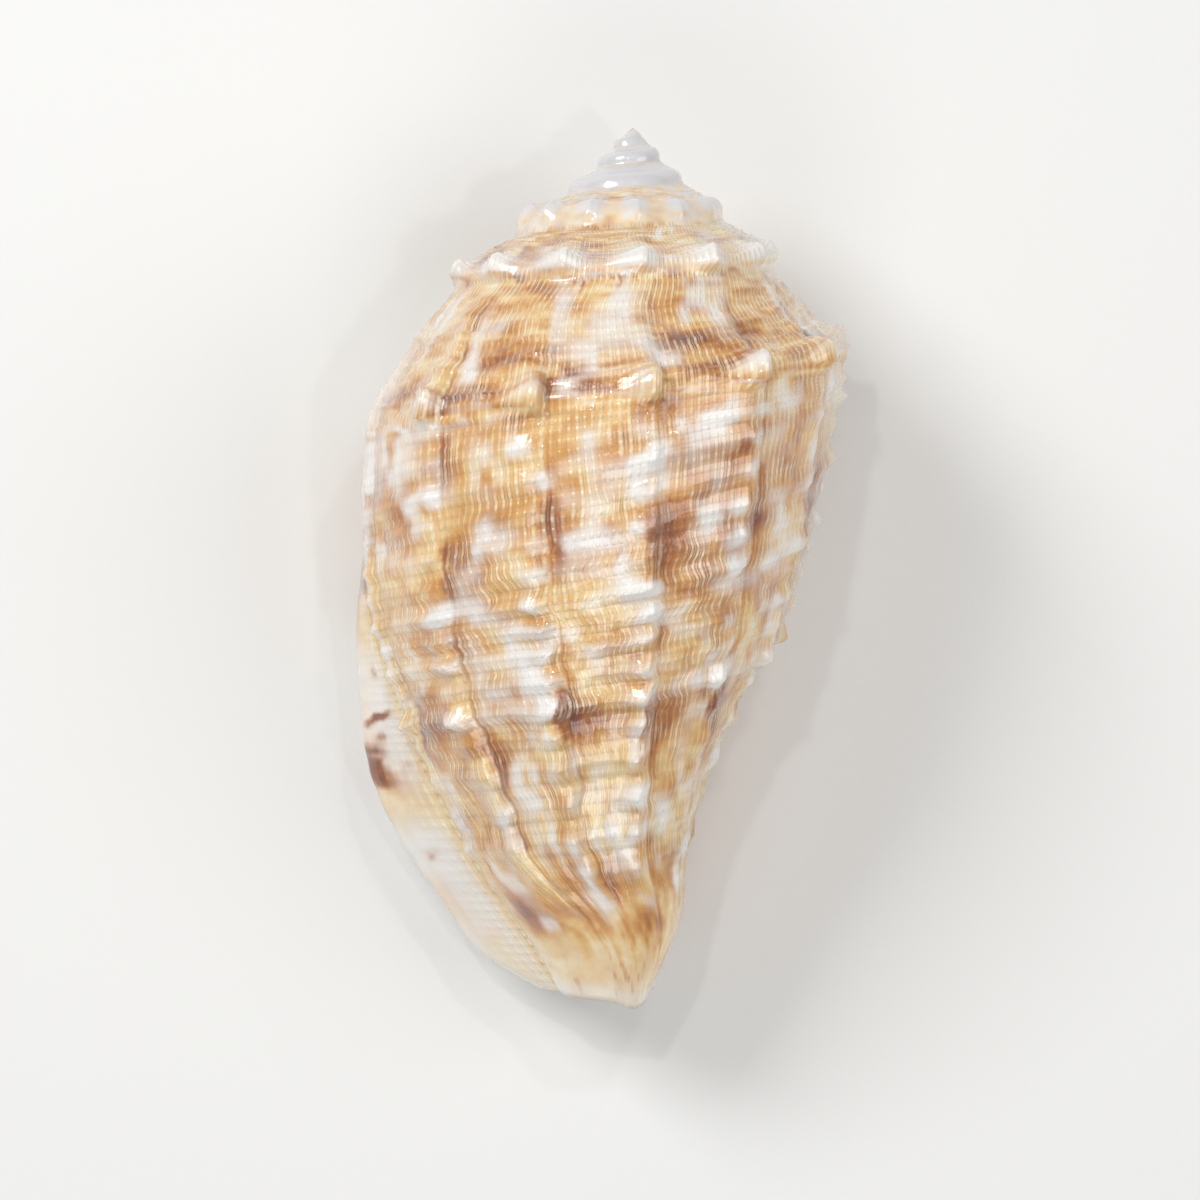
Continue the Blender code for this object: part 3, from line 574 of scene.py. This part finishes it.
def wallTint(angle, real, t):
    # Red holds brown, green white, blue dark and alpha the strength of the fine lines. Red and blue also
    # carry painted shade in the creases at the ribs' feet and early sutures
    lap = ribLap(angle)
    phase = cordPhase(angle, t)
    cord, chance = noduleSizes(angle, t)
    nodule = risen(phase) * ease(2.0, 2.04, t)
    crest = bump(ribs["crest"], 0.18, lap)
    # The crease at the foot of each rib, where brown and painted shade are both put
    foot = bump(1.0, 0.10, lap)
    trail = bump(1.0, 0.45, lap)
    band = bump(2.21, 0.06, t) + bump(2.51, 0.05, t) + 0.8 * bump(2.80, 0.05, t) + 0.7 * bump(0.75, 0.25, t)
    hidden = ease(-165.0, -195.0, real)               # where the photo gives no colours, the bands go on
    random = 0.5 + 0.5 * softNoise(angle / 10.0, t * 9.0, 23)
    blotched = blotches("brown", real, t)
    brown = mottling["brown"] + mottling["upperBrown"] * ease(2.55, 2.2, t)
    brown = brown + mottling["clouds"] * softNoise(angle / 11.0, t * 13.0, 24)
    brown = brown + mottling["specks"] * softNoise(angle / 4.0, t * 42.0, 25)
    brown = brown + mottling["footBrownAndShade"] * foot * (0.5 + 0.5 * softNoise(angle / 9.0, t * 30.0, 26))
    brown = brown + hidden * band * trail * (0.20 + 0.45 * random)
    brown = brown + mottling["blotches"] * blotched
    # Darker at the feet within the bands: brown with painted shade in the crease
    dark = blotches("dark", real, t) + hidden * band * foot * mottling["darkFootAndShade"] * random

    down = phase - 3.0 * np.clip(2 - t, 0, 2)
    patches = softNoise(angle / 8.0, down * 0.8, 27) + 0.7 * softNoise(angle / 3.5, down * 1.7, 28)
    knobs = crest * nodule * chance * np.where(t > 2, 1.0, 0.0)
    white = mottling["white"] + mottling["whitePatches"] * patches + mottling["whiteBeads"] * nodule * cord
    white = np.clip(white + mottling["whiteKnobs"] * knobs - 0.15 * foot, 0, 1)
    white = white * ease(2.9, 2.8, t) * np.clip(1.2 - 1.6 * blotched, 0, 1)
    white = np.maximum(white, mottling["whiteSpines"] * crest * bump(1.02, 0.13, t) * chance)
    flange = ease(-46.0, -34.0, real) * bump(1.1, 0.8, t)         # the pale upper end of the lip
    white = np.maximum(white, mottling["flange"] * flange)
    white = np.maximum(white, blotches("white", real, t))
    brown, white = earlyTint(angle, real, t, brown, white, random)
    lines = np.where(t > 2, ease(2.88, 2.68, t), 1.0) * ease(-900.0, -500.0, real)

    # The canal is streaked, and the shield has one colour with white pustules
    ragged = t + 0.03 * softNoise(angle / 6.0, angle * 0.0, 36) + 0.01 * softNoise(angle / 1.5, t * 20.0, 37)
    canal = ease(2.86, 2.93, ragged)
    streaks = 0.12 + 0.14 * softNoise(angle / 9.0, t * 30.0, 38)
    streaks = streaks + 0.30 * ease(0.55, 0.8, softNoise(angle / 3.0, t * 55.0, 39))
    brown = brown * (1 - canal) + canal * streaks
    white = np.maximum(white * (1 - canal), canal * (0.25 + 0.4 * ease(2.955, 2.985, t)))
    callus = onShield(angle, t) * ease(-200.0, -230.0, real) * ease(-420.0, -400.0, real)
    callusBrown = mottling["shield"] + 0.16 * softNoise(angle / 12.0, t * 10.0, 29)
    brown = brown * (1 - callus) + callus * callusBrown
    white = white * (1 - callus) + callus * (0.10 + 0.75 * ease(0.3, 0.8, pustules(angle, t)))
    lines = lines * (1 - callus)
    dark = dark * (1 - callus)
    return np.clip(np.stack([brown, white, dark, lines], axis=-1), 0.0, 1.0)


def lipTint(shares, t):                   # the same four for the lip
    squeezed = 2 - 0.25 * np.clip(2 - t, 0, None) + np.clip(t - 2, 0, None)      # less of t above 2
    share, row = np.meshgrid(shares, squeezed, indexing="ij")
    brown = 0.14 + 0.12 * softNoise(share * 14.0, row * 20.0, 31)
    brown = brown + 0.10 * softNoise(share * 5.0, row * 7.0, 35)
    dark = np.zeros_like(row)
    wobble = 0.05 * softNoise(share * 16.0, row * 34.0, 32)
    for place, height, across, along, strength in markings["lipBrown"]:
        away = ((share + wobble - place) / across) ** 2 + ((row + 0.5 * wobble - height) / along) ** 2
        spot = strength * np.exp(-away)
        brown = np.maximum(brown, 0.9 * spot)
        dark = np.maximum(dark, 0.85 * ease(0.30, 0.80, spot))
    tan = ease(2.42, 2.30, row) * ease(1.95, 2.02, row)
    brown = brown + 0.10 * tan
    white = ease(-0.04, 0.08, share) * (0.66 + 0.34 * softNoise(share * 9.0, row * 12.0, 33)) * (1 - dark)
    white = white * (1 - 0.5 * tan)
    lines = ease(0.20, 0.02, share)
    return np.clip(np.stack([brown, white, dark, lines], axis=-1), 0.0, 1.0)


def insideTint(t):                        # the hollow is plain and pale
    flat = np.zeros_like(t)
    return np.stack([flat + 0.12, flat + 0.6, flat, flat], axis=-1)


rowCounts = {"ramp": 29, "betweenCords": 6, "canal": 22}
meshing = {
    "tipAngle": 150.0,                    # degrees over which growth starts from a point
    "keptAngle": 365.0,                   # degrees of the spire next to the last whorl that aren't thinned
    "keptShare": 0.85,                    # of the faces that are thinned
    "join": 0.00004, "tipReach": 0.02, "tipJoin": 0.04, "sliver": 0.0001, "margin": 0.25,      # millimetres
    "capCorners": 100, "capDepth": 2.0,   # the open end of the spire has more corners, and is less deep
}


def rowPlaces():
    ramp = np.linspace(0.0, 1.0, rowCounts["ramp"])
    shoulder = (1.25, 1.5, 1.75, 2.0)
    below = []
    places = (0.0,) + cords["places"]
    count = rowCounts["betweenCords"]
    for start, end in zip(places, places[1:]):
        below += list(2 + start + (end - start) * np.arange(1, count + 1) / count)
    lower = np.linspace(2 + places[-1], 3.0, rowCounts["canal"] + 1)[1:]
    return np.concatenate([ramp, shoulder, below, lower])


rowT = rowPlaces()
print("rows", len(rowT))
turnLamellae = ribs["perTurn"] * lamellae["perRib"]
# There are two columns of points to a growth line
bodyAngles = foldFirst + lamellaStep * np.arange(2 * (lamellae["inFold"] - turnLamellae), 1) / 2
foldShares = np.linspace(0.0, 1.0, 2 * lamellae["inFold"] + 1)
turnAngles = np.concatenate([bodyAngles, foldFirst + (foldLast - foldFirst) * foldShares[1:]])


def growthOf(angle, t):                   # the texture's place: growth lines one way, threads the other
    return np.stack([(angle - ribs["foot"]) / lamellaStep, threadPhase(angle, t)], axis=-1)


def wallSheet(name, angles, t):
    angle, row = np.meshgrid(angles, t, indexing="ij")
    raised, lean = carved(angle, row)
    real = warped(angle, row)
    plain = wallPoints(real, row)
    points = wallPoints(real, row, raised, lean) + rounded(plain, angle, row) - plain
    start = coil["firstStation"]
    toTip = ease(start + meshing["tipAngle"], start, angle) * np.clip(1 - row / 2, 0, 1)
    points = points * (1 - toTip[..., None])
    return addSheet(name, points, growthOf(angle, row), wallTint(angle, real, row),
                    angle < bodyFirst - meshing["keptAngle"])


def hollowSheet(name, t, pointsOf):
    angle, row = np.meshgrid(hollowAngles(), t, indexing="ij")
    return addSheet(name, pointsOf(angle, row), growthOf(angle, row), insideTint(row), np.ones_like(row))


spireAngles = np.concatenate([turnAngles[:-1] - 360.0 * turn for turn in (5, 4, 3, 2, 1)] + [[bodyFirst]])
spireAngles = spireAngles[spireAngles > coil["firstStation"]]
sheets = [wallSheet("spire", spireAngles, rowT[rowT <= 2.0])]
sheets.append(wallSheet("body", bodyAngles, rowT))
foldAngle, foldRow = np.meshgrid(turnAngles[len(bodyAngles) - 1:], rowT, indexing="ij")
sheets.append(addSheet("lip", lipPoints(foldShares, rowT), growthOf(foldAngle, foldRow),
                       lipTint(foldShares, rowT), np.zeros_like(foldRow)))
sheets.append(hollowSheet("inside", rowT, lambda angle, row: innerPoints(hollowAngles(), rowT)))
sheets.append(hollowSheet("pillar", rowT[rowT > seamT - 0.001], pillarPoints))


def toMode(name):
    bpy.ops.object.mode_set(mode=name)


bpy.ops.object.select_all(action="DESELECT")
for sheet in sheets:
    sheet.select_set(True)
bpy.context.view_layer.objects.active = sheets[0]
bpy.ops.object.join()
shell = bpy.context.object
shell.name = "dressedShell"
print("joined", len(shell.data.vertices), "points")
toMode("EDIT")
bpy.ops.mesh.select_all(action="SELECT")
bpy.ops.mesh.remove_doubles(threshold=meshing["join"])
bpy.ops.mesh.select_all(action="DESELECT")
bpy.ops.mesh.select_non_manifold()
bpy.ops.mesh.fill_holes(sides=0)          # the apex, the canal's end and the deep end of the hollow
toMode("OBJECT")


def selectFaces(test):
    chosen = [test(polygon) for polygon in shell.data.polygons]
    shell.data.polygons.foreach_set("select", chosen)
    toMode("EDIT")
    return sum(chosen)


toMode("EDIT")
bpy.ops.mesh.select_mode(type="FACE")
bpy.ops.mesh.select_all(action="DESELECT")
toMode("OBJECT")
caps = selectFaces(lambda polygon: len(polygon.vertices) > meshing["capCorners"]
                   and polygon.center[1] > -meshing["capDepth"])
bpy.ops.mesh.poke()
toMode("OBJECT")
print("caps at the apex", caps)
shell.data.vertices[-1].co = (0.0, 0.0, 0.0)      # the middle of the cap
selectFaces(lambda polygon: len(polygon.vertices) > 4)
bpy.ops.mesh.quads_convert_to_tris(ngon_method="BEAUTY")
bpy.ops.mesh.select_mode(type="VERT")
bpy.ops.mesh.select_all(action="DESELECT")
toMode("OBJECT")
atTip = [vertex.co.length < meshing["tipReach"] for vertex in shell.data.vertices]
shell.data.vertices.foreach_set("select", atTip)
toMode("EDIT")
bpy.ops.mesh.remove_doubles(threshold=meshing["tipJoin"])
bpy.ops.mesh.select_all(action="SELECT")
bpy.ops.mesh.dissolve_degenerate(threshold=meshing["sliver"])
bpy.ops.mesh.normals_make_consistent(inside=False)
toMode("OBJECT")

# The early whorls and the hollow get fewer faces
thin = shell.modifiers.new("thin", "DECIMATE")
thin.vertex_group = "thinned"
thin.ratio = meshing["keptShare"]
bpy.ops.object.modifier_apply(modifier="thin")
shell.vertex_groups.clear()
shell.data.calc_loop_triangles()
print("thinned to", len(shell.data.loop_triangles), "triangles")


def within(values, low, high):            # eases the last bit before a limit, so nothing reaches past it
    margin = meshing["margin"]
    over = np.clip(values - high + margin, 0.0, None)
    under = np.clip(low + margin - values, 0.0, None)
    eased = values - over + margin * (1 - np.exp(-over / margin))
    return eased + under - margin * (1 - np.exp(-under / margin))


# Into the part's frame, in metres, with the lowest points flat on the ground
places = np.empty(len(shell.data.vertices) * 3)
shell.data.vertices.foreach_get("co", places)
places = places.reshape(-1, 3)
tilt = radians(coil["tilt"])
turned = np.stack([places[:, 0], places[:, 1] * np.cos(tilt) - places[:, 2] * np.sin(tilt),
                   places[:, 1] * np.sin(tilt) + places[:, 2] * np.cos(tilt)], axis=-1)
turned = turned + np.array(coil["apex"])
turned[:, 2] = np.maximum(turned[:, 2], 0.0)
turned[:, 0] = within(turned[:, 0], solidBox[0][0] / mm, solidBox[1][0] / mm)
turned[:, 2] = within(turned[:, 2], -1.0, solidBox[1][2] / mm)      # nothing comes near the low limit
shell.data.vertices.foreach_set("co", (turned * mm).reshape(-1))
shell.data.update()
bpy.ops.object.shade_smooth()
print("points", len(shell.data.vertices), "faces", len(shell.data.polygons))


def newMaterial(name):
    material = bpy.data.materials.new(name)
    material.use_nodes = True
    return material, material.node_tree.nodes, material.node_tree.links


glaze = {
    "levels": ((0.0, (0.88, 0.745, 0.475)), (0.20, (0.80, 0.545, 0.255)), (0.40, (0.66, 0.335, 0.110)),
               (0.60, (0.46, 0.180, 0.060)), (0.80, (0.28, 0.090, 0.036)), (1.0, (0.15, 0.050, 0.028))),
    "white": (0.84, 0.81, 0.78), "early": (0.64, 0.63, 0.65), "purple": (0.22, 0.075, 0.045),
    # foot is the colour of the line at each rib's foot, brown with painted shade in its crease
    "line": (0.94, 0.85, 0.62), "foot": (0.20, 0.066, 0.028), "lineShare": 0.72,
    "earlyStart": 0.0188, "earlyEnd": 0.0212,      # metres towards the apex between which the white greys
    "speckleScale": 1500.0, "mottleScale": 420.0, "patchScale": 0.35, "noiseDetail": 3.0, "lineShift": 0.14,
    "speckleBrown": 0.26, "mottleBrown": 0.34, "mottleWhite": 0.5, "mottleFoot": 1.2, "ribLine": 0.12,
    "bump": 0.00004, "finish": {"Roughness": 0.26, "Coat Weight": 1.0, "Coat Roughness": 0.05},
}


def shellGlaze():
    material, nodes, links = newMaterial("shell_glaze")
    shader = nodes["Principled BSDF"]

    def math(operation, first, second=None, third=None):
        node = nodes.new("ShaderNodeMath")
        node.operation = operation
        for socket, value in zip(node.inputs, (first, second, third)):
            if isinstance(value, (int, float)):
                socket.default_value = value
            elif value is not None:
                links.new(value, socket)
        return node.outputs[0]

    def product(first, *others):
        for other in others:
            first = math("MULTIPLY", first, other)
        return first

    def centred(value, strength):         # a noise round 0 in place of round a half
        return math("MULTIPLY", math("SUBTRACT", value, 0.5), strength)

    def softStep(value, start, end):      # 0 at start, 1 at end, whichever is larger
        node = nodes.new("ShaderNodeMapRange")
        node.interpolation_type = "SMOOTHSTEP"
        links.new(value, node.inputs["Value"])
        node.inputs["From Min"].default_value = min(start, end)
        node.inputs["From Max"].default_value = max(start, end)
        node.inputs["To Min"].default_value = 0.0 if start < end else 1.0
        node.inputs["To Max"].default_value = 1.0 if start < end else 0.0
        return node.outputs["Result"]

    def mix(share, first, second):
        node = nodes.new("ShaderNodeMix")
        node.data_type = "RGBA"
        sockets = (node.inputs["Factor"], node.inputs[6], node.inputs[7])
        for socket, value in zip(sockets, (share, first, second)):
            if isinstance(value, tuple):
                socket.default_value = (*value, 1.0)
            else:
                links.new(value, socket)
        return node.outputs[2]

    def noise(vector, scale):
        node = nodes.new("ShaderNodeTexNoise")
        node.inputs["Scale"].default_value = scale
        node.inputs["Detail"].default_value = glaze["noiseDetail"]
        links.new(vector, node.inputs["Vector"])
        return node.outputs["Fac"]

    tint = nodes.new("ShaderNodeAttribute")
    tint.attribute_name = "tint"
    parts = nodes.new("ShaderNodeSeparateColor")
    links.new(tint.outputs["Color"], parts.inputs[0])
    brown, white, dark = parts.outputs[0], parts.outputs[1], parts.outputs[2]
    lined = tint.outputs["Alpha"]
    growth = nodes.new("ShaderNodeUVMap")
    growth.uv_map = "growth"
    across = nodes.new("ShaderNodeSeparateXYZ")
    links.new(growth.outputs[0], across.inputs[0])
    u, v = across.outputs[0], across.outputs[1]
    place = nodes.new("ShaderNodeTexCoord").outputs["Object"]
    speckle = noise(place, glaze["speckleScale"])
    mottle = noise(place, glaze["mottleScale"])
    patch = noise(growth.outputs[0], glaze["patchScale"])

    # Growth lines just above whole numbers of u, a finer one between two, and threads at whole numbers of v
    toLine = math("PINGPONG", math("SUBTRACT", u, glaze["lineShift"]), 0.5)
    toFiner = math("PINGPONG", math("ADD", u, 0.5 - glaze["lineShift"]), 0.5)
    toThread = math("PINGPONG", v, 0.5)
    thread = softStep(toThread, 0.36, 0.06)
    line = softStep(toLine, 0.30, 0.10)
    finer = math("MULTIPLY", softStep(toFiner, 0.16, 0.04), softStep(patch, 0.45, 0.60))
    broken = math("ADD", 0.72, math("MULTIPLY", thread, 0.28))
    lines = product(math("MAXIMUM", line, math("MULTIPLY", finer, 0.6)), broken, lined,
                    math("SUBTRACT", 1.0, math("MULTIPLY", white, 0.8)))
    shown = product(lines, softStep(mottle, 0.32, 0.62), softStep(patch, 0.34, 0.62))
    # The dark line at the foot of a rib, every fourteenth growth line: brown, and painted shade in the crease
    # there
    toFoot = math("PINGPONG", math("ADD", u, centred(mottle, glaze["mottleFoot"])), lamellae["perRib"] / 2)
    foot = product(softStep(toFoot, 0.75, 0.15), softStep(mottle, 0.42, 0.60),
                   math("MINIMUM", math("ADD", math("MULTIPLY", brown, 0.9), dark), 1.0), lined)

    level = math("ADD", brown, centred(speckle, glaze["speckleBrown"]))
    level = math("ADD", level, centred(mottle, glaze["mottleBrown"]))
    between = math("SUBTRACT", 0.45, line)
    level = math("ADD", level, product(between, lined, softStep(patch, 0.30, 0.60), glaze["ribLine"]))
    ramp = nodes.new("ShaderNodeValToRGB")
    links.new(level, ramp.inputs[0])
    elements = ramp.color_ramp.elements
    while len(elements) < len(glaze["levels"]):
        elements.new(0.5)
    for element, (position, colour) in zip(elements, glaze["levels"]):
        element.position = position
        element.color = (*colour, 1.0)
    colour = mix(math("MULTIPLY", dark, softStep(speckle, 0.25, 0.6)), ramp.outputs[0], glaze["purple"])
    # Paints the foot line, brown and painted shade
    colour = mix(foot, colour, glaze["foot"])
    whiteness = math("ADD", white, centred(mottle, glaze["mottleWhite"]))
    height = nodes.new("ShaderNodeSeparateXYZ")
    links.new(place, height.inputs[0])
    early = softStep(height.outputs[1], glaze["earlyStart"], glaze["earlyEnd"])
    colour = mix(softStep(whiteness, 0.0, 1.0), colour, mix(early, glaze["white"], glaze["early"]))
    colour = mix(math("MULTIPLY", shown, glaze["lineShare"]), colour, glaze["line"])
    links.new(colour, shader.inputs["Base Color"])

    raised = math("ADD", math("MULTIPLY", lines, 0.8), product(thread, lined, 0.45))
    raised = math("ADD", raised, product(line, thread, lined, 0.45))
    raised = math("ADD", raised, math("MULTIPLY", speckle, 0.2))
    relief = nodes.new("ShaderNodeBump")
    relief.inputs["Distance"].default_value = glaze["bump"]
    links.new(raised, relief.inputs["Height"])
    links.new(relief.outputs[0], shader.inputs["Normal"])
    for socket, value in glaze["finish"].items():
        shader.inputs[socket].default_value = value
    return material


shell.data.materials.clear()
shell.data.materials.append(shellGlaze())
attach(shell, "root")
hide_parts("shell")

ground = {"size": 0.6, "drop": 0.0001, "colour": (0.80, 0.80, 0.79, 1.0), "roughness": 0.9}
bpy.ops.mesh.primitive_plane_add(size=ground["size"], location=(0, 0, -ground["drop"]))
floorPlane = bpy.context.object
floorPlane.name = "floor"
floorMaterial, floorNodes, floorLinks = newMaterial("pale_floor")
floorNodes["Principled BSDF"].inputs["Base Color"].default_value = ground["colour"]
floorNodes["Principled BSDF"].inputs["Roughness"].default_value = ground["roughness"]
floorPlane.data.materials.append(floorMaterial)

camera = {                                # in millimetres, the frame is the width seen at the axis
    "x": -0.06, "y": -1.72, "height": 330.6, "frame": 67.8, "axisHeight": 10.6, "sensor": 36.0,
}
lens = bpy.data.cameras.new("camera")
lens.sensor_width = camera["sensor"]
lens.lens = camera["sensor"] * (camera["height"] - camera["axisHeight"]) / camera["frame"]
lens.clip_start = 0.01
viewer = bpy.data.objects.new("camera", lens)
viewer.location = (camera["x"] * mm, camera["y"] * mm, camera["height"] * mm)
bpy.context.scene.collection.objects.link(viewer)
bpy.context.scene.camera = viewer

lights = (                                # name, place, size, power
    ("key", (-0.20, 0.16, 0.24), 0.14, 0.70), ("fill", (0.24, 0.02, 0.26), 0.22, 0.36),
    ("low", (-0.02, -0.24, 0.24), 0.16, 0.22), ("sparkLeft", (-0.05, 0.10, 0.32), 0.012, 0.09),
    ("sparkRight", (0.08, -0.04, 0.32), 0.012, 0.06), ("sparkTop", (0.06, 0.14, 0.28), 0.012, 0.06),
)
for name, place, size, power in lights:
    bpy.ops.object.light_add(type="AREA", location=place)
    light = bpy.context.object
    light.name = name
    light.data.size = size
    light.data.energy = power
    light.rotation_euler = (-Vector(place)).to_track_quat("-Z", "Y").to_euler()
sky = {"colour": (1.0, 0.99, 0.97, 1.0), "strength": 0.25}
world = bpy.data.worlds.new("studio")
bpy.context.scene.world = world
world.use_nodes = True
world.node_tree.nodes["Background"].inputs[0].default_value = sky["colour"]
world.node_tree.nodes["Background"].inputs[1].default_value = sky["strength"]
bpy.context.scene.view_settings.view_transform = "Standard"
